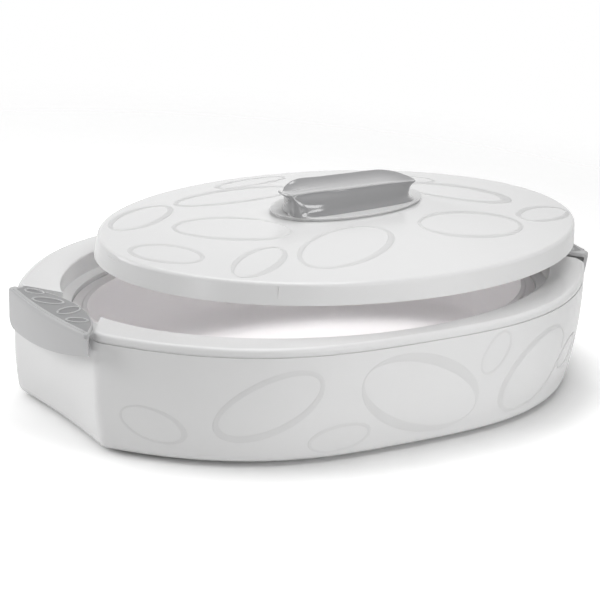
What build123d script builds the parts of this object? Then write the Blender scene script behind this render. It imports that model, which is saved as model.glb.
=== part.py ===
import os

from build123d import *

# Insulated food container: a double-walled oval body with two wing grips, and a loose double-walled lid.
# Millimetres, +Z up, long axis along X, origin on the resting plane under the middle of the body.
# The lid is drawn lifted off its seat and moved along +X, as it is when someone takes it away.

# Plan outline of the body: two long bowed sides that meet two short ends at four corners
rim_half_length = 161.5
rim_half_width = 100.0
rim_corner_y = 39.0
end_taper = 7.1
side_taper = 0.8
corner_taper = -2.6
end_crown = 3.0
end_hollow = 2.4
side_crown = 3.0
corner_radius = 7.0
corner_inset_share = 0.36
bow_shares = (0.33, 0.69)

# Heights and walls of the body
body_height = 63.9
foot_height = 1.5
wall = 2.4
bottom_edge_radius = 6.0
parting_drop = 4.6
groove_size = 0.9
rim_edge_radius = 2.2
recess_edge_radius = 0.8

# Lid recess, ledge and liner shelf, going inwards and down from the rim
end_band = 11.5
side_band = 9.4
recess_depth = 10.4
ledge_width = 6.5
shelf_drop = 4.4
shelf_width = 4.0

# Liner bowl
flange_thickness = 1.8
bead_rise = 3.0
bead_setback = 5.5
bead_width = 3.0
bead_radius = 1.0
liner_wall = 2.0
liner_draft = 12.0
liner_floor_z = 12.5
liner_corner_radius = 14.0

# Bottom cover, feet and small screws
plate_inset = 15.0
opening_inset = 24.0
boss_radius = 3.6
boss_height = 4.0
foot_radius = 8.0
foot_stem_radius = 3.0
foot_place_shares = (0.62, 0.52)
screw_radius = 1.5
screw_head_radius = 2.8
screw_head_height = 1.4

# Wing grips
notch_half_width = 22.3
notch_flare_share = 1.17
handle_rise = 1.6
handle_wall = 2.6
handle_reach = 12.7
handle_middle_y = -4.0
handle_front_span = 43.0
handle_front_reach = 8.2
handle_rear_span = 31.5
handle_rear_reach = 10.0
handle_inner_gap = 1.2
handle_inner_front_span = 31.5
handle_inner_front_reach = -2.0
handle_inner_rear_span = 32.5
handle_inner_rear_reach = 6.3
skirt_front_drop = 11.3
skirt_middle_drop = 19.8
skirt_rear_drop = 21.0
skirt_lean = 2.2
skirt_corner_radius = 5.0
handle_corner_radius = 1.6
handle_edge_radius = 1.0
handle_screw_setback = 6.2
handle_screw_half_pitch = 12.0
handle_screw_bite = 4.5
seat_half_span = 26.5
seat_setback = 0.8

# Lid: shallow skirt with a level top edge, under a dome that is rounder across than along
lid_gap = 1.4
skirt_height = 11.3
dome_rise = 10.2
dome_depth = 40.0
dome_sweep = 24.0
skirt_draft = 1.2
lid_edge_radius = 2.2
tip_notch = 1.3
tip_notch_depth = 3.0
panel_setback = 1.5
shoulder_width = 1.6
shoulder_height = 2.0
seal_tongue = 1.2

# Knob
knob_plate_half_length = 49.0
knob_plate_half_width = 27.5
knob_plate_thickness = 1.5
knob_plate_edge_radius = 0.6
knob_height = 12.0
knob_lip = 2.0
knob_waist_height = 4.6
knob_foot_size = (43.0, 12.0)
knob_waist_size = (40.0, 9.5)
knob_lip_size = (45.0, 13.0)
knob_tip_radius = 3.5
knob_scoop_depth = 1.5
tab_half_length = 12.0
tab_half_width = 3.0
tab_height = 6.4
knob_screw_x = 24.0
knob_screw_bite = 6.0
knob_boss_drop = 1.2
pin_radius = 1.6
pin_half_length = 7.6
pin_height = 3.8

# Place of the lifted lid
lid_shift = 17.5
lid_lift = 24.4

# Clearances
fit_gap = 0.3
seat_gap = 0.3
foam_gap = 0.5
screw_gap = 0.2
bite_gap = 0.05
pin_gap = 0.08
overrun = 2.0

# Sizes that follow from the ones above
base_half_length = rim_half_length - end_taper
base_half_width = rim_half_width - side_taper
base_corner_y = rim_corner_y - corner_taper
recess_half_length = rim_half_length - end_band
recess_half_width = rim_half_width - side_band
parting_z = body_height - parting_drop
ledge_z = body_height - recess_depth
shelf_z = ledge_z - shelf_drop
plate_seat_z = foot_height + wall
flange_top_z = plate_seat_z + wall
flange_z = shelf_z + flange_thickness
bead_top_z = shelf_z + bead_rise
bead_inset = ledge_width + bead_setback
bowl_inset = bead_inset + bead_width
lid_half_length = recess_half_length - lid_gap
lid_half_width = recess_half_width - lid_gap
lid_rest_z = ledge_z + seat_gap + lid_lift
dome_height = skirt_height + dome_rise
dome_long_radius = ((lid_half_length - skirt_draft) ** 2 + dome_rise**2) / (2 * dome_rise)
dome_cross_radius = ((lid_half_width - skirt_draft) ** 2 + dome_rise**2) / (2 * dome_rise)


def body_outline(height, inset):
    """Face of the body's plan outline at a height, drawn in by an inset."""
    share = height / body_height
    crown_share = 4 * share * (1 - share)
    x = base_half_length + end_taper * share + end_crown * crown_share - inset
    y = base_corner_y + corner_taper * share - corner_inset_share * inset
    w = base_half_width + side_taper * share + side_crown * crown_share - inset
    near, far = (bow_share * x for bow_share in bow_shares)
    hollow = x - 2 * end_hollow * (1 - share)
    with BuildLine() as edge:
        for side in (w, -w):
            corner_y = y if side > 0 else -y
            Bezier((0, side), (near, side), (far, side), (x, corner_y))
            Bezier((0, side), (-near, side), (-far, side), (-x, corner_y))
        Bezier((x, -y), (hollow, 0), (x, y))
        Bezier((-x, -y), (-hollow, 0), (-x, y))
    outline = make_face(edge.edges())
    fillet([v for v in outline.vertices() if abs(v.Y) < (y + w) / 2], corner_radius)


def body_form(inset, low=foot_height, high=body_height):
    """Solid of the body's tapered, crowned form between two heights, drawn in by an inset."""
    with BuildPart() as form:
        for level in (foot_height, (foot_height + body_height) / 2, body_height):
            with BuildSketch(Plane.XY.offset(level)):
                body_outline(level, inset)
        loft()
        if low > foot_height:
            split(bisect_by=Plane.XY.offset(low), keep=Keep.TOP)
        if high < body_height:
            split(bisect_by=Plane.XY.offset(high), keep=Keep.BOTTOM)
    return form.part


def oval_form(inset, low, high):
    """Upright oval prism, drawn in from the lid recess by an inset."""
    with BuildPart() as form:
        with BuildSketch(Plane.XY.offset(low)):
            Ellipse(recess_half_length - inset, recess_half_width - inset)
        extrude(amount=high - low)
    return form.part


def bowl_form(extra, low, high, corner):
    """Solid of the drafted liner bowl, grown sideways by an amount, with a rounded floor edge."""
    with BuildPart() as form:
        for level in (low, high):
            depth_share = (bead_top_z - level) / (bead_top_z - liner_floor_z)
            inset = bowl_inset + liner_draft * depth_share - extra
            with BuildSketch(Plane.XY.offset(level)):
                Ellipse(recess_half_length - inset, recess_half_width - inset)
        loft()
        fillet(form.faces().sort_by(Axis.Z)[0].edges(), corner)
    return form.part


def lid_level(height):
    """Plane across the lifted lid, at a height above the bottom of its skirt."""
    return Plane((lid_shift, 0, lid_rest_z + height))


def lid_oval(inset):
    """Oval across the lid, drawn in from the skirt's bottom edge."""
    Ellipse(lid_half_length - inset, lid_half_width - inset)


def dome(offset):
    """Segment of a ring whose outside is the lid's dome, grown by an offset."""
    axle = Axis((lid_shift, 0, lid_rest_z + dome_height - dome_long_radius), (0, 1, 0))
    start = Plane.YZ.rotated((0, -dome_sweep / 2, 0))
    with BuildPart() as segment:
        with BuildSketch(Plane(axle.position, x_dir=(0, 1, 0), z_dir=start.z_dir)):
            with Locations((0, dome_long_radius - dome_cross_radius)):
                Circle(dome_cross_radius + offset)
            with Locations((0, dome_long_radius - dome_depth)):
                Rectangle(
                    4 * dome_cross_radius,
                    4 * dome_cross_radius,
                    align=(Align.CENTER, Align.MAX),
                    mode=Mode.SUBTRACT,
                )
        revolve(axis=axle, revolution_arc=dome_sweep)
    return segment.part


def screw(length):
    """Pan-head screw that points up, with the underside of its head at the origin."""
    with BuildPart() as form:
        with Locations((0, 0, -screw_head_height)):
            Cylinder(screw_head_radius, screw_head_height, align=(Align.CENTER, Align.CENTER, Align.MIN))
        Cylinder(screw_radius, length, align=(Align.CENTER, Align.CENTER, Align.MIN))
    return form.part


# Places of the screws and feet
plate_screw_inset = (plate_inset + opening_inset) / 2
plate_screw_x = base_half_length - end_hollow - plate_screw_inset
plate_screw_y = base_half_width - plate_screw_inset
plate_screw_places = [(plate_screw_x, 0), (-plate_screw_x, 0), (0, plate_screw_y), (0, -plate_screw_y)]
foot_x = base_half_length * foot_place_shares[0]
foot_y = base_half_width * foot_place_shares[1]
foot_places = {
    "foot_front_left": (-foot_x, -foot_y),
    "foot_front_right": (foot_x, -foot_y),
    "foot_rear_left": (-foot_x, foot_y),
    "foot_rear_right": (foot_x, foot_y),
}
counterbore_depth = screw_head_height + screw_gap
plate_screw_length = wall - counterbore_depth + wall + boss_height / 2

# Outer shell: crowned wall with an inward flange that carries the bottom cover
shell_blank = body_form(0)
shell_space = body_form(wall, low=flange_top_z)
with BuildPart() as outer_shell:
    add(shell_blank)
    fillet(outer_shell.faces().sort_by(Axis.Z)[0].edges(), bottom_edge_radius)
    split(bisect_by=Plane.XY.offset(parting_z), keep=Keep.BOTTOM)
    add(shell_space, mode=Mode.SUBTRACT)
    with BuildSketch(Plane.XY.offset(foot_height)):
        body_outline(foot_height, plate_inset - fit_gap)
    extrude(amount=wall, mode=Mode.SUBTRACT)
    with BuildSketch(Plane.XY.offset(plate_seat_z)):
        body_outline(foot_height, opening_inset)
    extrude(amount=wall, mode=Mode.SUBTRACT)
    with BuildSketch(Plane.XY.offset(flange_top_z)):
        with Locations(*plate_screw_places):
            Circle(boss_radius)
    extrude(amount=boss_height)
    with BuildSketch(Plane.XY.offset(plate_seat_z)):
        with Locations(*plate_screw_places):
            Circle(screw_radius + bite_gap)
    extrude(amount=wall + boss_height - overrun / 2, mode=Mode.SUBTRACT)

# Bottom cover, flush in the flange, with sockets for the feet
with BuildPart() as base_plate:
    with BuildSketch(Plane.XY.offset(foot_height)):
        body_outline(foot_height, plate_inset)
    extrude(amount=wall)
    with BuildSketch(Plane.XY.offset(foot_height)):
        with Locations(*plate_screw_places):
            Circle(screw_radius + screw_gap)
        with Locations(*foot_places.values()):
            Circle(foot_stem_radius + bite_gap)
    extrude(amount=wall, mode=Mode.SUBTRACT)
    with BuildSketch(Plane.XY.offset(foot_height)):
        with Locations(*plate_screw_places):
            Circle(screw_head_radius + screw_gap)
    extrude(amount=counterbore_depth, mode=Mode.SUBTRACT)

# Rubber feet, each with a stem through the bottom cover
feet = {}
for name, (x, y) in foot_places.items():
    with BuildPart() as foot:
        with BuildSketch():
            with Locations((x, y)):
                Circle(foot_radius)
        extrude(amount=foot_height)
        with BuildSketch(Plane.XY.offset(foot_height)):
            with Locations((x, y)):
                Circle(foot_stem_radius)
        extrude(amount=wall)
    feet[name] = foot.part

# Four screws that hold the bottom cover
plate_screw = screw(plate_screw_length)
with BuildPart() as base_screws:
    with Locations(*[(x, y, foot_height + counterbore_depth) for x, y in plate_screw_places]):
        add(plate_screw)

# Liner: drafted oval bowl with a flat flange and a bead round its mouth
bowl_outside = bowl_form(liner_wall, liner_floor_z - liner_wall, flange_z, liner_corner_radius + liner_wall)
bowl_inside = bowl_form(0, liner_floor_z, bead_top_z + overrun, liner_corner_radius)
liner_flange = oval_form(ledge_width + fit_gap, shelf_z, flange_z)
liner_bead = oval_form(bead_inset, shelf_z, bead_top_z)
with BuildPart() as inner_liner:
    add(bowl_outside)
    add(liner_flange)
    add(liner_bead)
    fillet(inner_liner.faces().sort_by(Axis.Z)[-1].edges(), bead_radius)
    add(bowl_inside, mode=Mode.SUBTRACT)

# Rim collar: flat band, locating spigot, recess well and liner shelf, with a notch at each end
collar_blank = body_form(0, low=parting_z)
collar_spigot = body_form(wall + fit_gap, low=parting_z - wall, high=parting_z)
collar_hollow = body_form(2 * wall + fit_gap, high=body_height - wall)
floor_strip = body_form(wall + fit_gap, low=parting_z - wall, high=parting_z)
groove_outside = body_form(-overrun, low=parting_z, high=parting_z + groove_size)
groove_inside = body_form(groove_size, low=parting_z, high=parting_z + groove_size)
recess_well = oval_form(-wall, ledge_z - wall, body_height)
liner_well = oval_form(ledge_width - wall, shelf_z - wall, ledge_z)
recess_space = oval_form(0, ledge_z, body_height)
liner_space = oval_form(ledge_width, shelf_z, ledge_z)
shelf_space = oval_form(ledge_width + shelf_width, shelf_z - wall, shelf_z)
notch_reach = end_band + handle_reach
notch_outer_half_width = notch_half_width + notch_flare_share * notch_reach
notch_inner_half_width = notch_half_width - notch_flare_share * end_band
with BuildPart() as notch:
    with BuildSketch(Plane.XY.offset(parting_z)):
        for side in (1, -1):
            with BuildLine():
                Polyline(
                    (side * (recess_half_length - end_band), -notch_inner_half_width),
                    (side * (recess_half_length + notch_reach), -notch_outer_half_width),
                    (side * (recess_half_length + notch_reach), notch_outer_half_width),
                    (side * (recess_half_length - end_band), notch_inner_half_width),
                    close=True,
                )
            make_face()
    extrude(amount=parting_drop + overrun)
with BuildPart() as floor_strips:
    add(floor_strip)
    with Locations((0, 0, parting_z)):
        Box(2 * (recess_half_length - end_band), 2 * rim_half_width, 2 * parting_drop, mode=Mode.SUBTRACT)
handle_screw_x = rim_half_length - handle_screw_setback
handle_screw_places = [
    (side * handle_screw_x, place)
    for side in (1, -1)
    for place in (handle_screw_half_pitch, -handle_screw_half_pitch)
]
with BuildPart() as rim_collar:
    add(collar_blank)
    fillet(rim_collar.faces().sort_by(Axis.Z)[-1].edges(), rim_edge_radius)
    add(groove_outside - groove_inside, mode=Mode.SUBTRACT)
    add(collar_spigot)
    add(collar_hollow, mode=Mode.SUBTRACT)
    add(floor_strips.part)
    add(recess_well)
    add(liner_well)
    add(recess_space, mode=Mode.SUBTRACT)
    recess_edge = rim_collar.faces().sort_by(Axis.Z)[-1].inner_wires()[0].edges()
    fillet(recess_edge, recess_edge_radius)
    add(liner_space, mode=Mode.SUBTRACT)
    add(shelf_space, mode=Mode.SUBTRACT)
    add(notch.part, mode=Mode.SUBTRACT)
    with BuildSketch(Plane.XY.offset(parting_z - wall)):
        with Locations(*handle_screw_places):
            Circle(screw_radius + screw_gap)
    extrude(amount=wall, mode=Mode.SUBTRACT)

# Foam between shell and liner
foam_outside = body_form(wall + foam_gap, low=flange_top_z + foam_gap, high=shelf_z - wall - foam_gap)
foam_hollow = bowl_form(
    liner_wall + foam_gap,
    liner_floor_z - liner_wall - foam_gap,
    shelf_z,
    liner_corner_radius + liner_wall,
)
with BuildPart() as body_insulation:
    add(foam_outside)
    with BuildSketch(Plane.XY.offset(plate_seat_z + foam_gap)):
        body_outline(foot_height, opening_inset + foam_gap)
    extrude(amount=wall)
    add(foam_hollow, mode=Mode.SUBTRACT)
    with BuildSketch(Plane.XY.offset(flange_top_z)):
        with Locations(*plate_screw_places):
            Circle(boss_radius + foam_gap)
    extrude(amount=boss_height + foam_gap, mode=Mode.SUBTRACT)

# Wing grip: leaf-shaped top with a slanted front end, hanging finger skirt, and a seat block in the notch
handle_top_z = body_height + handle_rise
handle_under_z = handle_top_z - handle_wall
handle_inner_x = recess_half_length + handle_inner_gap
handle_outer_x = rim_half_length + handle_reach
handle_front_x = rim_half_length + handle_front_reach
handle_rear_x = rim_half_length + handle_rear_reach
skirt_low_z = handle_top_z - skirt_rear_drop - overrun
end_cut_share = (handle_front_span - handle_inner_front_span) / (handle_front_reach - handle_inner_front_reach)


def skirt_section(drop):
    """Curved strip across the finger skirt, at a drop below the grip's top."""
    lean = skirt_lean * drop / (handle_top_z - skirt_low_z)
    with BuildLine() as edge:
        outer = ThreePointArc(
            (lean - handle_front_x, -handle_front_span),
            (lean - handle_outer_x, handle_middle_y),
            (lean - handle_rear_x, handle_rear_span),
        )
        inner = ThreePointArc(
            (lean + handle_wall - handle_rear_x, handle_rear_span),
            (lean + handle_wall - handle_outer_x, handle_middle_y),
            (lean + handle_wall - handle_front_x, end_cut_share * handle_wall - handle_front_span),
        )
        Line(outer @ 1, inner @ 0)
        Line(inner @ 1, outer @ 0)
    make_face(edge.edges())


seat_outer_x = rim_half_length - wall / 2
seat_inner_x = handle_inner_x + seat_setback
with BuildPart() as left_handle:
    with BuildSketch(Plane.XY.offset(handle_under_z)):
        with BuildLine():
            top_outer = ThreePointArc(
                (-handle_front_x, -handle_front_span),
                (-handle_outer_x, handle_middle_y),
                (-handle_rear_x, handle_rear_span),
            )
            top_inner = ThreePointArc(
                (-rim_half_length - handle_inner_rear_reach, handle_inner_rear_span),
                (-handle_inner_x, handle_middle_y),
                (-rim_half_length - handle_inner_front_reach, -handle_inner_front_span),
            )
            Line(top_outer @ 1, top_inner @ 0)
            Line(top_inner @ 1, top_outer @ 0)
        leaf = make_face()
        fillet(leaf.vertices(), handle_corner_radius)
    extrude(amount=handle_wall)
    fillet(left_handle.faces().sort_by(Axis.Z)[-1].edges(), handle_edge_radius)
    with BuildSketch(Plane.XY.offset(handle_under_z)):
        skirt_section(handle_wall)
    with BuildSketch(Plane.XY.offset(skirt_low_z)):
        skirt_section(handle_top_z - skirt_low_z)
    loft()
    with BuildSketch(Plane.YZ.offset(-handle_outer_x)):
        with BuildLine():
            smile = ThreePointArc(
                (-handle_front_span, handle_top_z - skirt_front_drop),
                (handle_middle_y, handle_top_z - skirt_middle_drop),
                (handle_rear_span - skirt_corner_radius, handle_top_z - skirt_rear_drop),
            )
            corner = TangentArc(
                smile @ 1,
                (handle_rear_span, handle_top_z - skirt_rear_drop + skirt_corner_radius),
                tangent=smile % 1,
            )
            Polyline(
                corner @ 1,
                (handle_rear_span + overrun, handle_top_z - skirt_rear_drop + skirt_corner_radius),
                (handle_rear_span + overrun, foot_height),
                (-handle_front_span, foot_height),
                smile @ 0,
            )
        make_face()
    extrude(amount=handle_reach, both=True, mode=Mode.SUBTRACT)
    with BuildSketch(Plane.XY.offset(parting_z)):
        with BuildLine():
            seat_arc = ThreePointArc(
                (-seat_outer_x, seat_half_span), (-seat_inner_x, 0), (-seat_outer_x, -seat_half_span)
            )
            Line(seat_arc @ 1, seat_arc @ 0)
        make_face()
    extrude(amount=handle_under_z - parting_z)
    with BuildSketch(Plane.XY.offset(parting_z)):
        with Locations(*[place for place in handle_screw_places if place[0] < 0]):
            Circle(screw_radius + bite_gap)
    extrude(amount=handle_screw_bite + bite_gap, mode=Mode.SUBTRACT)
with BuildPart() as right_handle:
    add(left_handle.part, rotation=(0, 0, 180))

# Two screws for each grip, up through the notch floor
handle_screw = screw(wall + handle_screw_bite)
with BuildPart() as left_handle_screws:
    with Locations(*[(x, y, parting_z - wall) for x, y in handle_screw_places if x < 0]):
        add(handle_screw)
with BuildPart() as right_handle_screws:
    with Locations(*[(x, y, parting_z - wall) for x, y in handle_screw_places if x > 0]):
        add(handle_screw)

# Lid cover: drafted skirt under a shallow dome, hollow below, with a shoulder for the inner panel
knob_plate_top = dome_height + knob_plate_thickness
knob_boss_seat = dome_height - wall - knob_boss_drop
panel_top = panel_setback + wall
shoulder_top = panel_top + shoulder_height
knob_screw_places = [(knob_screw_x, 0), (-knob_screw_x, 0)]
dome_outside = dome(0)
dome_inside = dome(-wall)
with BuildPart() as lid_hollow:
    with BuildSketch(lid_level(shoulder_top)):
        lid_oval(wall + skirt_draft)
    extrude(amount=dome_height)
    add(dome_inside, mode=Mode.INTERSECT)
with BuildPart() as lid_cover:
    with BuildSketch(lid_level(0)):
        lid_oval(0)
    with BuildSketch(lid_level(dome_height)):
        lid_oval(skirt_draft * dome_height / skirt_height)
    loft()
    add(dome_outside, mode=Mode.INTERSECT)
    fillet(lid_cover.faces().sort_by(Axis.Z)[-1].edges(), lid_edge_radius)
    with BuildSketch(lid_level(skirt_height - tip_notch_depth)):
        with Locations((lid_half_length, 0), (-lid_half_length, 0)):
            Rectangle(2 * tip_notch, lid_half_width)
    extrude(amount=dome_height, mode=Mode.SUBTRACT)
    add(lid_hollow.part, mode=Mode.SUBTRACT)
    with BuildSketch(lid_level(panel_top)):
        lid_oval(wall + shoulder_width)
    extrude(amount=shoulder_height, mode=Mode.SUBTRACT)
    with BuildSketch(lid_level(0)):
        lid_oval(wall)
    extrude(amount=panel_top, mode=Mode.SUBTRACT)
    with BuildSketch(lid_level(knob_boss_seat)):
        with Locations(*knob_screw_places):
            Circle(boss_radius)
    extrude(amount=knob_boss_drop + wall / 2)
    with BuildSketch(lid_level(knob_boss_seat)):
        with Locations(*knob_screw_places):
            Circle(screw_radius + screw_gap)
    extrude(amount=dome_height, mode=Mode.SUBTRACT)

# Inner panel of the lid, with a groove for the seal's tongue
seal_middle = bead_inset + bead_width / 2 - lid_gap
seal_bottom = bead_top_z - ledge_z


def seal_ring(width):
    """Oval ring over the liner's bead, of a given width."""
    lid_oval(seal_middle - width / 2)
    Ellipse(
        lid_half_length - seal_middle - width / 2,
        lid_half_width - seal_middle - width / 2,
        mode=Mode.SUBTRACT,
    )


with BuildPart() as lid_inner_panel:
    with BuildSketch(lid_level(panel_setback)):
        lid_oval(wall + fit_gap)
    extrude(amount=wall)
    with BuildSketch(lid_level(panel_setback)):
        seal_ring(seal_tongue + 2 * fit_gap)
    extrude(amount=seal_tongue + fit_gap, mode=Mode.SUBTRACT)

# Soft seal that hangs under the panel and meets the liner's bead when the lid is shut
with BuildPart() as lid_seal:
    with BuildSketch(lid_level(seal_bottom)):
        seal_ring(bead_width)
    extrude(amount=panel_setback - seal_bottom)
    with BuildSketch(lid_level(panel_setback)):
        seal_ring(seal_tongue)
    extrude(amount=seal_tongue)

# Foam between cover and panel
dome_foam = dome(-wall - foam_gap)
with BuildPart() as lid_insulation:
    with BuildSketch(lid_level(panel_top + foam_gap)):
        lid_oval(wall + skirt_draft + shoulder_width + foam_gap)
    extrude(amount=dome_height)
    add(dome_foam, mode=Mode.INTERSECT)
    with BuildSketch(lid_level(knob_boss_seat - screw_head_height - foam_gap)):
        with Locations(*knob_screw_places):
            Circle(boss_radius + foam_gap)
    extrude(amount=dome_height, mode=Mode.SUBTRACT)

# Oval plate under the knob, with an upstand that the cross pin passes through
plate_ball = dome(bite_gap)
pin_center = (lid_shift, 0, lid_rest_z + knob_plate_top + pin_height)
with BuildPart() as knob_base:
    with BuildSketch(lid_level(dome_height - overrun)):
        Ellipse(knob_plate_half_length, knob_plate_half_width)
    extrude(amount=overrun + knob_plate_thickness)
    fillet(knob_base.faces().sort_by(Axis.Z)[-1].edges(), knob_plate_edge_radius)
    add(plate_ball, mode=Mode.SUBTRACT)
    with BuildSketch(lid_level(knob_plate_top)):
        Rectangle(2 * tab_half_length, 2 * tab_half_width)
    extrude(amount=tab_height)
    with Locations(pin_center):
        Cylinder(pin_radius + pin_gap, 2 * pin_half_length, rotation=(90, 0, 0), mode=Mode.SUBTRACT)
    with BuildSketch(lid_level(dome_height - overrun)):
        with Locations(*knob_screw_places):
            Circle(screw_radius + screw_gap)
    extrude(amount=overrun + knob_plate_thickness, mode=Mode.SUBTRACT)


def knob_leaf(size):
    """Pointed oval across the grip, with rounded tips."""
    half_length, half_width = size
    with BuildLine() as edge:
        front = ThreePointArc((-half_length, 0), (0, -half_width), (half_length, 0))
        ThreePointArc(front @ 1, (0, half_width), front @ 0)
    leaf = make_face(edge.edges())
    fillet(leaf.vertices(), knob_tip_radius)


# Grip: waisted between its foot and its lip, scooped along the top, with a pocket for the upstand
scoop_half_width = knob_lip_size[1]
scoop_radius = (scoop_half_width**2 + knob_scoop_depth**2) / (2 * knob_scoop_depth)
with BuildPart() as knob_grip:
    with BuildSketch(lid_level(knob_plate_top)):
        knob_leaf(knob_foot_size)
    with BuildSketch(lid_level(knob_plate_top + knob_waist_height)):
        knob_leaf(knob_waist_size)
    with BuildSketch(lid_level(knob_plate_top + knob_height - knob_lip)):
        knob_leaf(knob_lip_size)
    loft()
    with BuildSketch(lid_level(knob_plate_top + knob_height - knob_lip)):
        knob_leaf(knob_lip_size)
    extrude(amount=knob_lip)
    with Locations((lid_shift, 0, lid_rest_z + knob_plate_top + knob_height - knob_scoop_depth + scoop_radius)):
        Cylinder(scoop_radius, 3 * knob_lip_size[0], rotation=(0, 90, 0), mode=Mode.SUBTRACT)
    with BuildSketch(lid_level(knob_plate_top)):
        Rectangle(2 * (tab_half_length + fit_gap), 2 * (tab_half_width + fit_gap))
    extrude(amount=tab_height + fit_gap, mode=Mode.SUBTRACT)
    with Locations(pin_center):
        Cylinder(
            pin_radius + pin_gap, 2 * (pin_half_length + fit_gap), rotation=(90, 0, 0), mode=Mode.SUBTRACT
        )
    with BuildSketch(lid_level(knob_plate_top)):
        with Locations(*knob_screw_places):
            Circle(screw_radius + bite_gap)
    extrude(amount=knob_screw_bite + fit_gap, mode=Mode.SUBTRACT)

# Cross pin of the knob
with BuildPart() as knob_pin:
    with Locations(pin_center):
        Cylinder(pin_radius, 2 * pin_half_length, rotation=(90, 0, 0))

# Two screws that hold the knob, from inside the cover
lid_screw = screw(knob_plate_top - knob_boss_seat + knob_screw_bite)
with BuildPart() as knob_screws:
    with Locations(*[(lid_shift + x, y, lid_rest_z + knob_boss_seat) for x, y in knob_screw_places]):
        add(lid_screw)

pieces = {
    "outer_shell": outer_shell.part,
    "rim_collar": rim_collar.part,
    "inner_liner": inner_liner.part,
    "body_insulation": body_insulation.part,
    "base_plate": base_plate.part,
    **feet,
    "base_screws": base_screws.part,
    "left_handle": left_handle.part,
    "right_handle": right_handle.part,
    "left_handle_screws": left_handle_screws.part,
    "right_handle_screws": right_handle_screws.part,
    "lid_cover": lid_cover.part,
    "lid_inner_panel": lid_inner_panel.part,
    "lid_insulation": lid_insulation.part,
    "lid_seal": lid_seal.part,
    "knob_base": knob_base.part,
    "knob_grip": knob_grip.part,
    "knob_pin": knob_pin.part,
    "knob_screws": knob_screws.part,
}
os.makedirs("parts", exist_ok=True)
for name, piece in pieces.items():
    piece.label = name
    export_step(piece, f"parts/{name}.step")
    print(name, len(piece.solids()), round(piece.volume))
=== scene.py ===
import math

import bmesh
import bpy
from mathutils import Matrix, Vector
from mathutils.bvhtree import BVHTree


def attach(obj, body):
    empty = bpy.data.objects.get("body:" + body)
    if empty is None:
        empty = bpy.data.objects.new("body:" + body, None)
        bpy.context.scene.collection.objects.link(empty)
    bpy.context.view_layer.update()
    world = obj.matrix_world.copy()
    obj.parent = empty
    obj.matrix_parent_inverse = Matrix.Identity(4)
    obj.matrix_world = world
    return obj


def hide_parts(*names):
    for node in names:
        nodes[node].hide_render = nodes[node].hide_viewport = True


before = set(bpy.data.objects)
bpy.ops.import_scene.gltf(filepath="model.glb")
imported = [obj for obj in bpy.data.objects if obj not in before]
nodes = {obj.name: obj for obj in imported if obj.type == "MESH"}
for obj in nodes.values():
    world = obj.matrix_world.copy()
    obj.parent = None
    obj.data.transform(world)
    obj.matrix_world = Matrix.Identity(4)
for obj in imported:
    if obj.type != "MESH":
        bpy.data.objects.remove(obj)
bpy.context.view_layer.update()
mm = 0.001
scene = bpy.context.scene
print("frame loaded:", len(nodes), "nodes")

# camera: the photograph's own place, lens and slight roll
cameraSetup = {
    "place": (-0.81424, -1.03885, 0.51303),
    "right": (0.80689, -0.58242, 0.09856),
    "up": (0.12065, 0.32582, 0.93770),
    "back": (-0.57824, -0.74474, 0.33317),
    "lens": 154.75,
    "sensor": 36.0,
    "clipStart": 0.05,
}
cameraData = bpy.data.cameras.new("photoCamera")
cameraData.lens = cameraSetup["lens"]
cameraData.sensor_width = cameraSetup["sensor"]
cameraData.clip_start = cameraSetup["clipStart"]
photoCamera = bpy.data.objects.new("photoCamera", cameraData)
scene.collection.objects.link(photoCamera)
photoCamera.location = cameraSetup["place"]
cameraAxes = Matrix((cameraSetup["right"], cameraSetup["up"], cameraSetup["back"])).transposed()
photoCamera.rotation_mode = "QUATERNION"
photoCamera.rotation_quaternion = cameraAxes.to_quaternion()
scene.camera = photoCamera
scene.view_settings.view_transform = "Standard"
print("camera set")

# sockets of a colour mix node
mixDark, mixLight, mixResult = 6, 7, 2


def linkNodes(tree, *pairs):
    for source, target in pairs:
        tree.links.new(source, target)


def blankTree(owner):
    owner.use_nodes = True
    tree = owner.node_tree
    tree.nodes.clear()
    return tree


# the lower and upper end of what a range node reads ("From") or gives ("To")
def setRange(node, side, ends):
    for end, value in zip(("Min", "Max"), ends):
        node.inputs[f"{side} {end}"].default_value = value


# moulded surface: slow tone drift, fine mould grain and a soft bump, shared by all finishes
grainSetup = {
    "inputs": (("Drift Scale", 18.0), ("Grain Scale", 900.0), ("Grain Depth", 0.02)),
    "outputs": (("Drift", "NodeSocketFloat"), ("Grain", "NodeSocketFloat"), ("Normal", "NodeSocketVector")),
    "driftDetail": 3.0,
    "grainDetail": 2.0,
    "bumpDistance": 0.0003,
}


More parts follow.
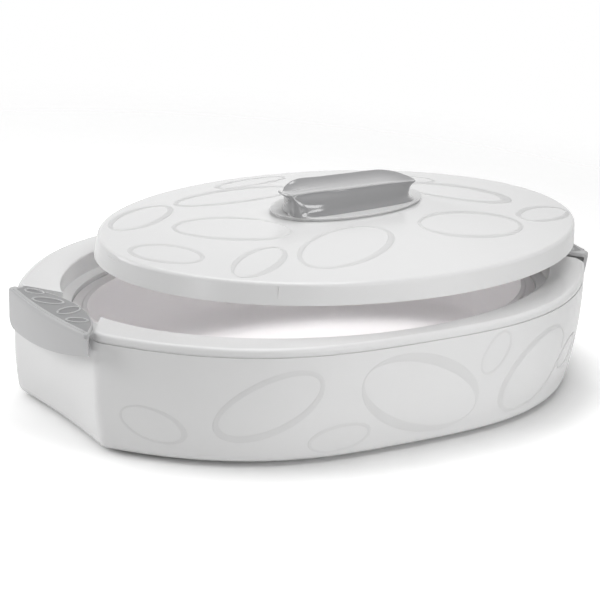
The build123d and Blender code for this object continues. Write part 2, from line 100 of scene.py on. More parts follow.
def buildMouldGrain():
    group = bpy.data.node_groups.new("mouldGrain", "ShaderNodeTree")
    face = group.interface
    for name, default in grainSetup["inputs"]:
        face.new_socket(name, in_out="INPUT", socket_type="NodeSocketFloat").default_value = default
    for name, kind in grainSetup["outputs"]:
        face.new_socket(name, in_out="OUTPUT", socket_type=kind)
    make = group.nodes.new
    entry, leave = make("NodeGroupInput"), make("NodeGroupOutput")
    place = make("ShaderNodeTexCoord")
    drift = make("ShaderNodeTexNoise")
    drift.inputs["Detail"].default_value = grainSetup["driftDetail"]
    grain = make("ShaderNodeTexNoise")
    grain.inputs["Detail"].default_value = grainSetup["grainDetail"]
    bump = make("ShaderNodeBump")
    bump.inputs["Distance"].default_value = grainSetup["bumpDistance"]
    linkNodes(
        group,
        (place.outputs["Object"], drift.inputs["Vector"]),
        (place.outputs["Object"], grain.inputs["Vector"]),
        (entry.outputs["Drift Scale"], drift.inputs["Scale"]),
        (entry.outputs["Grain Scale"], grain.inputs["Scale"]),
        (entry.outputs["Grain Depth"], bump.inputs["Strength"]),
        (grain.outputs["Fac"], bump.inputs["Height"]),
        (drift.outputs["Fac"], leave.inputs["Drift"]),
        (grain.outputs["Fac"], leave.inputs["Grain"]),
        (bump.outputs["Normal"], leave.inputs["Normal"]),
    )
    return group


mouldGrain = buildMouldGrain()


# one finish: two close tones, a roughness range, grain and gloss; a finish may change these defaults
finishDefaults = {"ior": 1.48, "metallic": 0.0, "coat": 0.0, "coatRoughness": 0.08}


def mouldedFinish(name, changes):
    finish = {**finishDefaults, **changes}
    material = bpy.data.materials.new(name)
    tree = blankTree(material)
    make = tree.nodes.new
    shader, output = make("ShaderNodeBsdfPrincipled"), make("ShaderNodeOutputMaterial")
    grain = make("ShaderNodeGroup")
    grain.node_tree = mouldGrain
    grain.inputs["Drift Scale"].default_value = finish["driftScale"]
    grain.inputs["Grain Scale"].default_value = finish["grainScale"]
    grain.inputs["Grain Depth"].default_value = finish["grainDepth"]
    tone = make("ShaderNodeMix")
    tone.data_type = "RGBA"
    tone.inputs[mixDark].default_value = (*finish["dark"], 1)
    tone.inputs[mixLight].default_value = (*finish["light"], 1)
    rough = make("ShaderNodeMapRange")
    setRange(rough, "To", finish["roughness"])
    shader.inputs["IOR"].default_value = finish["ior"]
    shader.inputs["Metallic"].default_value = finish["metallic"]
    shader.inputs["Coat Weight"].default_value = finish["coat"]
    shader.inputs["Coat Roughness"].default_value = finish["coatRoughness"]
    linkNodes(
        tree,
        (grain.outputs["Drift"], tone.inputs[0]),
        (grain.outputs["Grain"], rough.inputs["Value"]),
        (tone.outputs[mixResult], shader.inputs["Base Color"]),
        (rough.outputs["Result"], shader.inputs["Roughness"]),
        (grain.outputs["Normal"], shader.inputs["Normal"]),
        (shader.outputs["BSDF"], output.inputs["Surface"]),
    )
    return material


finishes = {
    "bodyWhite": {"dark": (0.82, 0.82, 0.82), "light": (0.86, 0.86, 0.86), "roughness": (0.20, 0.30),
                  "driftScale": 14.0, "grainScale": 1400.0, "grainDepth": 0.03},
    # lid relief bands: the lid's white plastic with a matte finish, toned darker as painted shade of the
    # embossing
    "lidReliefPaintedShade": {"dark": (0.70, 0.70, 0.70), "light": (0.74, 0.74, 0.74), "roughness": (0.50, 0.66),
                       "driftScale": 20.0, "grainScale": 2600.0, "grainDepth": 0.16},
    # wall relief bands: the body's white plastic with a matte finish, toned darker as painted shade of the
    # embossing
    "wallReliefPaintedShade": {"dark": (0.745, 0.745, 0.745), "light": (0.785, 0.785, 0.785),
                        "roughness": (0.50, 0.66), "driftScale": 20.0,
                        "grainScale": 2600.0, "grainDepth": 0.16},
    "linerWhite": {"dark": (0.83, 0.81, 0.815), "light": (0.87, 0.85, 0.855), "roughness": (0.26, 0.34),
                   "driftScale": 12.0, "grainScale": 40.0, "grainDepth": 0.0},
    "gripGrey": {"dark": (0.52, 0.52, 0.525), "light": (0.57, 0.57, 0.575), "roughness": (0.26, 0.36),
                 "driftScale": 30.0, "grainScale": 2200.0, "grainDepth": 0.08},
    "knobGrey": {"dark": (0.25, 0.25, 0.255), "light": (0.28, 0.28, 0.285), "roughness": (0.12, 0.16),
                 "ior": 1.6, "coat": 1.0, "driftScale": 30.0, "grainScale": 2200.0, "grainDepth": 0.0},
    "leafGrey": {"dark": (0.50, 0.50, 0.505), "light": (0.55, 0.55, 0.555), "roughness": (0.34, 0.46),
                 "driftScale": 30.0, "grainScale": 2200.0, "grainDepth": 0.08},
    "fieldGrey": {"dark": (0.30, 0.30, 0.305), "light": (0.34, 0.34, 0.345), "roughness": (0.38, 0.50),
                  "driftScale": 30.0, "grainScale": 2200.0, "grainDepth": 0.10},
    # dark plates laid in the leaves: painted shade standing for hollows that the grip's flat top does not
    # have
    "hollowPaintedShade": {"dark": (0.25, 0.25, 0.255), "light": (0.28, 0.28, 0.285), "roughness": (0.38, 0.50),
                   "driftScale": 30.0, "grainScale": 2200.0, "grainDepth": 0.10},
    "plateGrey": {"dark": (0.66, 0.66, 0.66), "light": (0.71, 0.71, 0.71), "roughness": (0.24, 0.34),
                  "driftScale": 26.0, "grainScale": 2200.0, "grainDepth": 0.06},
    "sealWhite": {"dark": (0.74, 0.74, 0.73), "light": (0.79, 0.79, 0.78), "roughness": (0.50, 0.62),
                  "driftScale": 24.0, "grainScale": 1500.0, "grainDepth": 0.10},
    "footRubber": {"dark": (0.05, 0.05, 0.05), "light": (0.075, 0.075, 0.075), "roughness": (0.62, 0.80),
                   "driftScale": 60.0, "grainScale": 1600.0, "grainDepth": 0.30},
    "screwSteel": {"dark": (0.50, 0.50, 0.50), "light": (0.60, 0.60, 0.60), "roughness": (0.25, 0.40),
                   "metallic": 1.0, "driftScale": 80.0, "grainScale": 3000.0, "grainDepth": 0.08},
    "foamCream": {"dark": (0.78, 0.73, 0.58), "light": (0.86, 0.82, 0.68), "roughness": (0.85, 0.95),
                  "driftScale": 40.0, "grainScale": 600.0, "grainDepth": 0.60},
}
materials = {name: mouldedFinish(name, finish) for name, finish in finishes.items()}
nodeFinish = {
    "outer_shell": "bodyWhite", "rim_collar": "bodyWhite", "base_plate": "bodyWhite",
    "lid_cover": "bodyWhite", "lid_inner_panel": "bodyWhite", "inner_liner": "linerWhite",
    "left_handle": "gripGrey", "right_handle": "gripGrey", "knob_grip": "knobGrey", "knob_base": "plateGrey",
    "lid_seal": "sealWhite", "body_insulation": "foamCream", "lid_insulation": "foamCream",
    "foot_front_left": "footRubber", "foot_front_right": "footRubber",
    "foot_rear_left": "footRubber", "foot_rear_right": "footRubber",
    "base_screws": "screwSteel", "left_handle_screws": "screwSteel", "right_handle_screws": "screwSteel",
    "knob_screws": "screwSteel", "knob_pin": "screwSteel",
}
for nodeName, finishName in nodeFinish.items():
    mesh = nodes[nodeName].data
    mesh.materials.clear()
    mesh.materials.append(materials[finishName])
print("finishes set on", len(nodeFinish), "nodes")

graph = bpy.context.evaluated_depsgraph_get()
shellTree = BVHTree.FromObject(nodes["outer_shell"], graph)
coverTree = BVHTree.FromObject(nodes["lid_cover"], graph)
gripTree = BVHTree.FromObject(nodes["left_handle"], graph)
up = Vector((0, 0, 1))


def addPiece(name, bm, finishName, body, smoothAngle=40.0):
    mesh = bpy.data.meshes.new(name)
    bm.to_mesh(mesh)
    bm.free()
    mesh.shade_smooth()
    mesh.set_sharp_from_angle(angle=math.radians(smoothAngle))
    piece = bpy.data.objects.new(name, mesh)
    scene.collection.objects.link(piece)
    mesh.materials.append(materials[finishName])
    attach(piece, body)
    return piece


# a unit tube cut across into as many levels as there are rings; each ring then places its level's vertices
def stackRings(bm, rings, segments, closeEnds=False):
    earlier, last = len(bm.verts), len(rings) - 1
    tube = bmesh.ops.create_cone(
        bm, cap_ends=closeEnds, segments=segments, radius1=1.0, radius2=1.0, depth=1.0)["verts"]
    foot = [vert for vert in tube if vert.co.z < 0]
    upright = [edge for vert in foot for edge in vert.link_edges if edge.other_vert(vert).co.z > 0]
    bmesh.ops.subdivide_edges(bm, edges=upright, cuts=last - 1, use_grid_fill=True)
    for vert in bm.verts[earlier:]:
        placeVert = rings[round((vert.co.z + 0.5) * last)]
        vert.co = placeVert(vert.co.x, vert.co.y)


# low relief ovals: each is a band between an outer and an inner oval, given as
# (middle along, middle across, half length, half width, turn in degrees), in mm
def ovalMatrix(oval):
    along, across, halfLength, halfWidth, turn = oval
    return (
        Matrix.Translation((along, across, 0))
        @ Matrix.Rotation(math.radians(turn), 4, "Z")
        @ Matrix.Diagonal((halfLength, halfWidth, 1, 1))
    )


# band cross section as (share of the way inwards, share of the full rise)
bandSection = ((0.0, -0.6), (0.10, 0.75), (0.22, 1.0), (0.78, 1.0), (0.90, 0.75), (1.0, -0.6))


def ovalBand(bm, outer, inner, segments, place):
    startTurn = Matrix.Rotation(math.radians(outer[4] - inner[4]), 4, "Z")
    outerMatrix, innerMatrix = ovalMatrix(outer), ovalMatrix(inner) @ startTurn

    def ring(share, rise):
        def placeVert(x, y):
            flat = (outerMatrix @ Vector((x, y, 0))).lerp(innerMatrix @ Vector((x, y, 0)), share)
            return place(flat.x, flat.y, rise)
        return placeVert

    stackRings(bm, [ring(share, rise) for share, rise in bandSection], segments)


lidRelief = {
    "centre": (17.5, 0.0),
    "domeTop": 99.7,
    "domeRadii": (1070.1, 384.7),
    "rise": 0.18,
    "segments": 112,
    "ovals": (
        ((-107.5, 37.6, 24.7, 13.8, 26.6), (-107.9, 37.4, 22.1, 9.6, 25.7)),
        ((-43.9, 43.2, 37.8, 15.6, -2.0), (-43.4, 42.3, 34.9, 11.1, -4.6)),
        ((-78.6, -4.8, 31.4, 17.4, -34.3), (-77.8, -5.1, 29.5, 13.8, -33.0)),
        ((-126.1, -15.5, 20.2, 11.4, -49.7), (-126.0, -15.9, 17.6, 8.7, -50.1)),
        ((-89.3, -45.7, 20.9, 10.9, 22.4), (-89.8, -45.6, 19.8, 7.2, 23.9)),
        ((-35.6, -47.7, 35.9, 17.2, 16.1), (-35.7, -47.1, 33.1, 14.5, 19.2)),
        ((54.4, -40.6, 34.2, 17.9, -1.2), (53.8, -40.7, 31.2, 14.2, -4.3)),
        ((83.3, 7.9, 32.5, 18.8, -29.0), (79.9, 8.5, 28.4, 13.0, -32.3)),
        ((115.7, -30.3, 24.0, 10.0, 15.8), (115.9, -30.3, 21.4, 7.0, 18.0)),
        ((60.0, 45.0, 31.0, 14.0, -20.0), (60.6, 44.6, 28.6, 10.5, -18.0)),
        ((-16.0, 68.0, 26.0, 9.5, 8.0), (-15.5, 68.0, 23.4, 6.8, 10.0)),
    ),
}


def buildLidRelief(relief):
    longRadius, crossRadius = relief["domeRadii"]
    centreX, centreY = relief["centre"]

    def place(x, y, rise):
        cross = math.sqrt(crossRadius * crossRadius - y * y)
        ring = longRadius - crossRadius + cross
        height = math.sqrt(ring * ring - x * x)
        out = Vector((x / height, ring * y / (cross * height), 1)).normalized()
        spot = Vector((x + centreX, y + centreY, relief["domeTop"] - longRadius + height))
        return (spot + out * (rise * relief["rise"])) * mm

    bm = bmesh.new()
    for outer, inner in relief["ovals"]:
        ovalBand(bm, outer, inner, relief["segments"], place)
    bmesh.ops.recalc_face_normals(bm, faces=bm.faces)
    # the bands take the darker tone that paints the embossing's shade
    return addPiece("lidReliefOvals", bm, "lidReliefPaintedShade", "lid")


lidOvals = buildLidRelief(lidRelief)
print("lid relief:", len(lidOvals.data.polygons), "faces")

# ovals on the wall: a point (x, y, z), the way the wall faces there in degrees, then the
# two ovals about that point; each is set on the front and, turned half round, on the rear
wallRelief = {
    "rise": 0.14,
    "segments": 112,
    "reach": 60.0,
    "ovals": (
        ((-139.4, -61.8, 20.3), -133.8, (0, 0, 18.0, 9.2, -15.2), (-1.0, 0, 15.7, 7.6, -18.0)),
        ((-89.7, -90.4, 33.5), -108.6, (0, 0, 30.8, 15.8, 25.8), (0.2, 0.6, 27.5, 11.8, 25.5)),
        ((-1.2, -101.5, 31.8), -90.5, (0, 0, 41.1, 21.6, -15.9), (-0.3, -0.4, 39.8, 15.9, -19.6)),
        ((48.2, -100.2, 46.6), -84.3, (0, 0, 13.6, 8.6, 45.2), (-0.1, 0.1, 12.0, 6.4, 47.3)),
        ((84.7, -93.5, 29.9), -78.6, (-1.6, -0.2, 32.4, 19.0, 23.9), (0.2, -0.4, 29.8, 15.5, 26.5)),
        ((-49.9, -99.5, 13.7), -97.0, (0, 0, 18.6, 8.2, 5.1), (0, -0.2, 16.2, 6.2, 6.5)),
        ((121.0, -77.0, 29.1), -60.9, (0, 0, 15.6, 7.6, 14.0), (0.2, 0, 13.6, 5.8, 15.0)),
    ),
}


def buildWallRelief(relief):
    bm = bmesh.new()
    missed = 0
    for spot, facing, outer, inner in relief["ovals"]:
        for half in (0.0, 180.0):
            turn = Matrix.Rotation(math.radians(half), 4, "Z")
            middle = turn @ Vector(spot) * mm
            out = turn @ Vector((math.cos(math.radians(facing)), math.sin(math.radians(facing)), 0))
            along = up.cross(out)

            def place(u, v, rise):
                nonlocal missed
                start = middle + along * (u * mm) + up * (v * mm) + out * (relief["reach"] * mm)
                hit, normal = shellTree.ray_cast(start, -out)[:2]
                if hit is None:
                    missed += 1
                    hit, normal = start, out
                return hit + normal * (rise * relief["rise"] * mm)

            ovalBand(bm, outer, inner, relief["segments"], place)
    bmesh.ops.recalc_face_normals(bm, faces=bm.faces)
    print("wall relief points off the wall:", missed)
    # the bands take the darker tone that paints the embossing's shade
    return addPiece("wallReliefOvals", bm, "wallReliefPaintedShade", "base")


wallOvals = buildWallRelief(wallRelief)
print("wall relief:", len(wallOvals.data.polygons), "faces")

# the grips' tops: raised leaf rims round dark plates of painted shade that stand for hollows, and a raised
# border along the outer edge, given on the left grip; the right grip is the left one turned half round
gripRelief = {
    "top": 65.5,
    "topSlack": 0.15,
    "castHeight": 90.0,
    "middle": -168.5,
    "scanStep": 0.1,
    "rise": 0.45,
    "shadePlateRise": 0.04,
    "segments": 64,
    "ovals": (
        ((-162.6, 20.8, 5.6, 3.3, -54.0), (-162.6, 20.8, 4.4, 2.2, -54.0)),
        ((-163.0, 6.6, 8.6, 4.6, -43.0), (-163.0, 6.6, 7.2, 3.3, -43.0)),
        ((-160.3, -9.4, 8.1, 4.2, 15.0), (-160.3, -9.4, 6.8, 2.9, 15.0)),
        ((-163.6, -22.8, 6.0, 3.6, -28.0), (-163.6, -22.8, 4.7, 2.4, -28.0)),
    ),
    "border": {"span": (-39.4, 28.0), "steps": 90, "inset": 0.3, "width": 2.3, "rise": 0.40,
               "taperRate": 12, "taperLeast": 0.1},
    "field": {"span": (-39.4, 28.0), "steps": 80, "inset": 0.6, "rise": 0.03},
}
gripTop = gripRelief["top"]


# whether the grip's flat top lies under a point
def onGripTop(x, y):
    hit = gripTree.ray_cast(Vector((x, y, gripRelief["castHeight"])) * mm, -up)[0]
    return hit is not None and hit.z > (gripTop - gripRelief["topSlack"]) * mm


# the edge of the flat top at a place along the grip: side -1 is the outer edge and side 1 the inner one
def gripEdge(y, side):
    x, step = gripRelief["middle"], side * gripRelief["scanStep"]
    while onGripTop(x + step, y):
        x += step
    return x


def buildGripRelief(relief):
    rims, shadePlates, fields = bmesh.new(), bmesh.new(), bmesh.new()
    border, field = relief["border"], relief["field"]
    missed = 0
    for half in (0.0, 180.0):
        turn = Matrix.Rotation(math.radians(half), 4, "Z")

        def place(x, y, rise):
            nonlocal missed
            missed += not onGripTop(x, y)
            return turn @ (Vector((x, y, gripTop + rise * relief["rise"])) * mm)

        for outer, inner in relief["ovals"]:
            ovalBand(rims, outer, inner, relief["segments"], place)
            # a thin dark plate inside each leaf: painted shade for a hollow
            made = bmesh.ops.create_circle(
                shadePlates, cap_ends=True, cap_tris=True, segments=relief["segments"], radius=1.0)
            for vert in made["verts"]:
                flat = ovalMatrix(inner) @ vert.co
                vert.co = turn @ (Vector((flat.x, flat.y, gripTop + relief["shadePlateRise"])) * mm)
        first, last = border["span"]
        across = len(bandSection) - 1
        made = bmesh.ops.create_grid(rims, x_segments=border["steps"], y_segments=across, size=1.0)
        for vert in made["verts"]:
            y = first + (last - first) * (vert.co.x + 1) / 2
            share, rise = bandSection[round((vert.co.y + 1) / 2 * across)]
            taper = min(1.0, (1 - abs(vert.co.x)) * border["taperRate"])
            x = gripEdge(y, -1) + border["inset"] + border["width"] * share * max(taper, border["taperLeast"])
            vert.co = turn @ (Vector((x, y, gripTop + rise * border["rise"])) * mm)
        first, last = field["span"]
        made = bmesh.ops.create_grid(fields, x_segments=field["steps"], y_segments=1, size=1.0)
        for vert in made["verts"]:
            y = first + (last - first) * (vert.co.x + 1) / 2
            outer = gripEdge(y, -1) + border["inset"] + border["width"]
            inner = max(outer, gripEdge(y, 1) - field["inset"])
            x = outer if vert.co.y < 0 else inner
            vert.co = turn @ (Vector((x, y, gripTop + field["rise"])) * mm)
    bmesh.ops.recalc_face_normals(rims, faces=rims.faces)
    for bm in (shadePlates, fields):
        bm.normal_update()
        bmesh.ops.reverse_faces(bm, faces=[face for face in bm.faces if face.normal.z < 0])
    print("grip relief points off the top:", missed)
    return (addPiece("gripReliefRims", rims, "leafGrey", "base"),
            addPiece("gripReliefPaintedShade", shadePlates, "hollowPaintedShade", "base"),
            addPiece("gripReliefFields", fields, "fieldGrey", "base"))


gripPieces = buildGripRelief(gripRelief)
print("grip relief:", sum(len(piece.data.polygons) for piece in gripPieces), "faces")

# knob plate: a thin oval plate with an undercut rim; rings are (share of the oval, height)
knobPlate = {
    "centre": (19.2, 2.4),
    "halfSizes": (51.2, 22.8),
    "turn": 4.8,
    "segments": 144,
    "rings": (
        (0.945, 98.0), (0.945, 100.2), (0.985, 100.3), (1.0, 100.5), (1.0, 100.85), (0.993, 101.08),
        (0.975, 101.2),
    ),
    "smoothAngle": 50.0,
}


def buildKnobPlate(plate):
    turn = Matrix.Rotation(math.radians(plate["turn"]), 4, "Z")
    halfLength, halfWidth = plate["halfSizes"]

    def ring(share, height):
        def placeVert(x, y):
            flat = turn @ Vector((x * halfLength * share, y * halfWidth * share, 0))
            return Vector((flat.x + plate["centre"][0], flat.y + plate["centre"][1], height)) * mm
        return placeVert

    bm = bmesh.new()
    stackRings(bm, [ring(*level) for level in plate["rings"]], plate["segments"], closeEnds=True)
    bmesh.ops.recalc_face_normals(bm, faces=bm.faces)
    piece = addPiece("knobPlateShape", bm, "plateGrey", "lid", plate["smoothAngle"])
    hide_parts("knob_base")
    return piece


plateShape = buildKnobPlate(knobPlate)
print("knob plate:", len(plateShape.data.polygons), "faces")

# knob grip: a bar with a hollowed side, a flared lip, a long dish on top and a finger dip at the left end;
# the outlines go round from the right tip by the back, the left end and the front, matched point for point
knobGrip = {
    "centre": (17.5, 0.0),
    "foot": (
        (42.5, -3.5), (42.0, 3.0), (38.0, 9.0), (30.0, 13.0), (18.0, 14.5), (4.0, 14.5), (-12.0, 14.0),
        (-26.0, 12.5), (-35.0, 10.0), (-39.5, 5.5), (-41.8, 2.5), (-43.6, -2.0), (-44.2, -7.5),
        (-41.5, -13.4), (-28.0, -15.8), (-4.0, -14.8), (21.5, -12.8), (34.3, -10.6), (39.5, -7.8),
    ),
    "waist": (
        (38.0, -4.0), (37.5, 2.0), (34.5, 7.5), (28.0, 11.0), (17.0, 12.0), (4.0, 12.0), (-12.0, 11.8),
        (-25.0, 11.0), (-33.5, 9.0), (-38.0, 5.5), (-40.8, 2.6), (-42.6, -1.8), (-44.0, -7.4),
        (-42.6, -12.9), (-29.0, -14.2), (-6.0, -12.8), (20.0, -11.0), (32.0, -9.4), (36.2, -7.2),
    ),
    "lip": (
        (39.6, -6.6, 112.6), (38.8, 1.0, 112.9), (36.3, 8.5, 113.0), (30.1, 13.0, 113.1),
        (20.0, 13.5, 113.1), (4.0, 13.3, 113.1), (-12.0, 13.2, 113.1), (-26.0, 13.4, 113.0),
        (-35.0, 10.6, 111.0), (-41.0, 5.0, 109.4), (-45.6, 1.6, 112.3), (-48.2, -1.6, 113.1),
        (-48.4, -6.8, 113.1), (-45.4, -11.3, 113.1), (-31.6, -10.0, 113.1), (-10.0, -10.7, 113.1),
        (15.0, -9.8, 113.0), (30.0, -9.7, 112.8), (37.2, -9.2, 112.6),
    ),
    "footHeight": 101.1,
    "dishHeight": 113.1,
    "dishCentre": (-4.0, 1.5),
    "segments": 190,
    "smoothAngle": 50.0,
    # side steps: (share of the height, share foot to waist, share waist to lip)
    "side": (
        (0.0, 0.0, 0.0), (0.035, 0.03, 0.0), (0.08, 0.32, 0.0), (0.15, 0.70, 0.0), (0.25, 0.94, 0.0),
        (0.36, 1.0, 0.0), (0.50, 1.0, 0.06), (0.63, 1.0, 0.17), (0.74, 1.0, 0.36), (0.83, 1.0, 0.66),
        (0.89, 1.0, 0.90), (0.94, 1.0, 1.0), (0.975, 1.0, 1.0),
    ),
    # dish steps: (share along, share across, drop, share of the way to one height)
    "dish": (
        (0.996, 0.985, 0.0, 0.0), (0.985, 0.95, 0.05, 0.0), (0.965, 0.89, 0.45, 0.1), (0.93, 0.78, 1.0, 0.3),
        (0.87, 0.60, 1.55, 0.6), (0.78, 0.38, 1.9, 0.9), (0.68, 0.14, 2.05, 1.0),
    ),
}


# a smooth closed line through the points, at the share of the way round
def roundLine(points, share):
    count = len(points)
    step = (share % 1.0) * count
    number = int(step) % count
    t = step - int(step)
    before, start, end, after = (Vector(points[(number + shift) % count]) for shift in (-1, 0, 1, 2))
    return 0.5 * (2 * start + (end - before) * t + (2 * before - 5 * start + 4 * end - after) * t * t
                  + (3 * start - before - 3 * end + after) * t * t * t)


def buildKnobGrip(shape):
    foot, waist, lip = shape["foot"], shape["waist"], shape["lip"]
    centre = Vector((*shape["centre"], 0))
    dishX, dishY = shape["dishCentre"]

    def wayRound(x, y):
        return math.atan2(y, x) / (2 * math.pi)

    def sideRing(height, toWaist, toLip):
        def placeVert(x, y):
            share = wayRound(x, y)
            edge = roundLine(lip, share)
            flat = roundLine(foot, share).lerp(roundLine(waist, share), toWaist).lerp(edge.xy, toLip)
            z = shape["footHeight"] + (edge.z - shape["footHeight"]) * height
            return (centre + Vector((flat.x, flat.y, z))) * mm
        return placeVert

    def dishRing(along, across, drop, level):
        def placeVert(x, y):
            edge = roundLine(lip, wayRound(x, y))
            z = edge.z + (shape["dishHeight"] - edge.z) * level - drop
            spot = Vector((dishX + (edge.x - dishX) * along, dishY + (edge.y - dishY) * across, z))
            return (centre + spot) * mm
        return placeVert

    bm = bmesh.new()
    rings = [sideRing(*step) for step in shape["side"]] + [dishRing(*step) for step in shape["dish"]]
    stackRings(bm, rings, shape["segments"], closeEnds=True)
    bmesh.ops.recalc_face_normals(bm, faces=bm.faces)
    piece = addPiece("knobGripShape", bm, "knobGrey", "lid", shape["smoothAngle"])
    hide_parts("knob_grip")
    return piece


knobShape = buildKnobGrip(knobGrip)
print("knob grip:", len(knobShape.data.polygons), "faces")

# fine seam rib on the front left of the lid's skirt
seamRib = {
    "centre": (17.5, 0.0),
    "place": (-91.0, -67.7),
    "heights": (79.6, 88.2),
    "size": (0.45, 0.5),
    "castReach": 50.0,
    "bevelShare": 0.18,
    "bevelSegments": 2,
}


def buildSeamRib(rib):
    low, high = rib["heights"]
    across, deep = rib["size"]
    offset = Vector((*rib["place"], 0))
    spot = (Vector((*rib["centre"], (low + high) / 2)) + offset) * mm
    start = spot + offset.normalized() * rib["castReach"] * mm
    hit, normal = coverTree.ray_cast(start, (spot - start).normalized())[:2]
    out = Vector((normal.x, normal.y, 0)).normalized()
    axes = Matrix((up.cross(out), out, up)).transposed().to_4x4()
    bm = bmesh.new()
    bmesh.ops.create_cube(bm, size=1.0)
    bmesh.ops.bevel(bm, geom=bm.edges[:], offset=rib["bevelShare"], segments=rib["bevelSegments"],
                    profile=0.5, affect="EDGES", material=-1)
    size = Matrix.Diagonal((across * mm, deep * mm, (high - low) * mm, 1))
    bmesh.ops.transform(bm, matrix=Matrix.Translation(hit) @ axes @ size, verts=bm.verts)
    return addPiece("lidSeamRib", bm, "bodyWhite", "lid")


seam = buildSeamRib(seamRib)
print("seam rib:", len(seam.data.polygons), "faces")

# studio: white sweep, pale floor that keeps the shadow, soft boxes round the object; near the object the
# floor's glow is dimmed by occlusion, a painted contact shadow that leans away from the main light, which
# stands behind on the left
studio = {
    "ambient": 0.05,
    "sweepStrength": 1.0,
    "floorRadius": 1.2,
    "floorSegments": 96,
    "floorTones": ((0.90, 0.90, 0.895), (0.93, 0.93, 0.93)),
    "floorNoise": 9.0,
    "floorRoughness": 0.5,
    "floorFade": (0.34, 0.62),
    "floorGlow": 0.5,
    # painted contact shadow: occlusion reach, the occlusion shares that map to no glow and full glow, and the
    # normal it leans along
    "paintedContactShadow": {"reach": 0.05, "shares": (0.24, 0.94), "lean": (-0.30, 0.66, 0.69)},
    "lamps": {
        "topBox": {"place": (0.03, 0.06, 0.62), "aim": (0.02, 0.02, 0.08),
                   "size": (0.42, 0.36), "power": 1.6},
        "endBox": {"place": (-1.05, 0.60, 0.50), "aim": (-0.1, 0.0, 0.04),
                   "size": (0.7, 0.7), "power": 7.4},
        "frontTop": {"place": (0.03, -0.25, 0.55), "aim": (0.02, -0.10, 0.07),
                     "size": (0.25, 0.12), "power": 0.75},
        "nearBox": {"place": (0.04, -0.42, 0.14), "aim": (0.03, -0.1, 0.05),
                    "size": (0.20, 0.14), "power": 0.33},
        "nearRight": {"place": (0.26, -0.46, 0.10), "aim": (0.09, -0.1, 0.06),
                      "size": (0.12, 0.10), "power": 0.15},
        "skirtTip": {"place": (-0.42, -0.30, 0.085), "aim": (-0.12, -0.05, 0.085), "size": (0.10, 0.05),
                     "power": 0.024, "spread": 60.0},
        "bowlLight": {"place": (-0.006, -0.004, 0.0525), "aim": (-0.006, -0.004, 0.0), "size": (0.245, 0.112),
                      "power": 0.06, "shape": "ELLIPSE", "spread": 42.0, "hidden": True},
    },
}


# 1 where the camera sees a surface, straight, mirrored or through glass, and 0 for the light it gives
def seenRays(tree):
    make = tree.nodes.new
    rays, seen, mirrored = make("ShaderNodeLightPath"), make("ShaderNodeMath"), make("ShaderNodeMath")
    seen.operation = mirrored.operation = "MAXIMUM"
    linkNodes(
        tree,
        (rays.outputs["Is Camera Ray"], seen.inputs[0]),
        (rays.outputs["Is Transmission Ray"], seen.inputs[1]),
        (seen.outputs["Value"], mirrored.inputs[0]),
        (rays.outputs["Is Glossy Ray"], mirrored.inputs[1]),
    )
    return mirrored.outputs["Value"]


def buildWorld():
    world = bpy.data.worlds.new("whiteSweep")
    scene.world = world
    tree = blankTree(world)
    make = tree.nodes.new
    output, background, strength = (
        make(kind) for kind in ("ShaderNodeOutputWorld", "ShaderNodeBackground", "ShaderNodeMapRange"))
    background.inputs["Color"].default_value = (1, 1, 1, 1)
    setRange(strength, "To", (studio["ambient"], studio["sweepStrength"]))
    linkNodes(
        tree,
        (seenRays(tree), strength.inputs["Value"]),
        (strength.outputs["Result"], background.inputs["Strength"]),
        (background.outputs["Background"], output.inputs["Surface"]),
    )


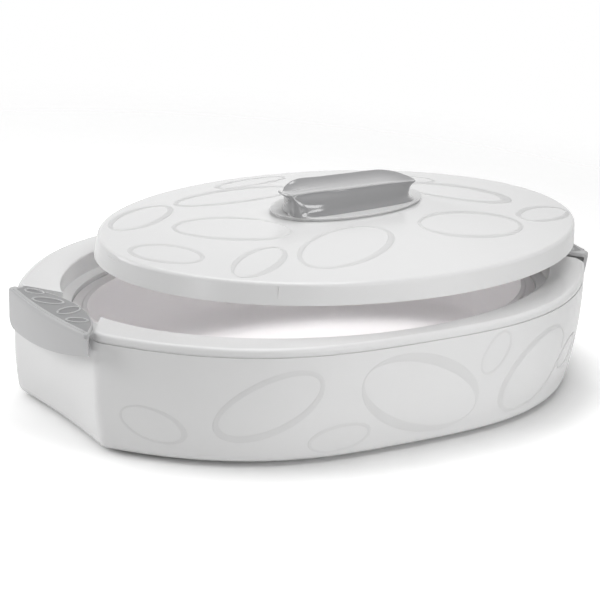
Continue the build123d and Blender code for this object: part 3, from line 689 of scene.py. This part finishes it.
def paleFloorFinish():
    material = bpy.data.materials.new("paleFloor")
    tree = blankTree(material)
    make = tree.nodes.new
    output, mix = make("ShaderNodeOutputMaterial"), make("ShaderNodeMixShader")
    shader, clear = make("ShaderNodeBsdfPrincipled"), make("ShaderNodeBsdfTransparent")
    place, radius, fade = make("ShaderNodeTexCoord"), make("ShaderNodeVectorMath"), make("ShaderNodeMapRange")
    noise, tone, glow = make("ShaderNodeTexNoise"), make("ShaderNodeMix"), make("ShaderNodeMath")
    lean, shade = make("ShaderNodeCombineXYZ"), make("ShaderNodeAmbientOcclusion")
    # painted contact shadow: occlusion about a leaning normal dims the floor's glow near the object, most in
    # front and on the right
    paintedContactShadow = make("ShaderNodeMapRange")
    glow.operation = "MULTIPLY"
    shade.inputs["Distance"].default_value = studio["paintedContactShadow"]["reach"]
    for axis, value in zip("XYZ", studio["paintedContactShadow"]["lean"]):
        lean.inputs[axis].default_value = value
    paintedContactShadow.interpolation_type = "SMOOTHSTEP"
    setRange(paintedContactShadow, "From", studio["paintedContactShadow"]["shares"])
    setRange(paintedContactShadow, "To", (0, studio["floorGlow"]))
    radius.operation = "LENGTH"
    fade.interpolation_type = "SMOOTHSTEP"
    setRange(fade, "From", studio["floorFade"])
    noise.inputs["Scale"].default_value = studio["floorNoise"]
    tone.data_type = "RGBA"
    for socket, colour in zip((mixDark, mixLight), studio["floorTones"]):
        tone.inputs[socket].default_value = (*colour, 1)
    shader.inputs["Roughness"].default_value = studio["floorRoughness"]
    shader.inputs["Emission Color"].default_value = (1, 1, 1, 1)
    linkNodes(
        tree,
        (lean.outputs["Vector"], shade.inputs["Normal"]),
        (shade.outputs["AO"], paintedContactShadow.inputs["Value"]),
        (paintedContactShadow.outputs["Result"], glow.inputs[0]),
        (seenRays(tree), glow.inputs[1]),
        (glow.outputs["Value"], shader.inputs["Emission Strength"]),
        (place.outputs["Object"], radius.inputs[0]),
        (place.outputs["Object"], noise.inputs["Vector"]),
        (noise.outputs["Fac"], tone.inputs[0]),
        (tone.outputs[mixResult], shader.inputs["Base Color"]),
        (radius.outputs["Value"], fade.inputs["Value"]),
        (fade.outputs["Result"], mix.inputs["Fac"]),
        (shader.outputs["BSDF"], mix.inputs[1]),
        (clear.outputs["BSDF"], mix.inputs[2]),
        (mix.outputs["Shader"], output.inputs["Surface"]),
    )
    return material


def buildFloor():
    bm = bmesh.new()
    bmesh.ops.create_circle(bm, cap_ends=True, segments=studio["floorSegments"], radius=studio["floorRadius"])
    mesh = bpy.data.meshes.new("studioFloor")
    bm.to_mesh(mesh)
    bm.free()
    mesh.materials.append(paleFloorFinish())
    floor = bpy.data.objects.new("studioFloor", mesh)
    scene.collection.objects.link(floor)


def buildLamps():
    for name, box in studio["lamps"].items():
        data = bpy.data.lights.new(name, "AREA")
        data.shape = box.get("shape", "RECTANGLE")
        data.spread = math.radians(box.get("spread", 180.0))
        data.size, data.size_y = box["size"]
        data.energy = box["power"]
        lamp = bpy.data.objects.new(name, data)
        scene.collection.objects.link(lamp)
        lamp.location = box["place"]
        aim = Vector(box["aim"]) - Vector(box["place"])
        lamp.rotation_mode = "QUATERNION"
        lamp.rotation_quaternion = aim.to_track_quat("-Z", "Y")
        if box.get("hidden"):
            lamp.visible_camera = lamp.visible_glossy = False


buildWorld()
buildFloor()
buildLamps()
print("studio set")

bpy.context.view_layer.update()
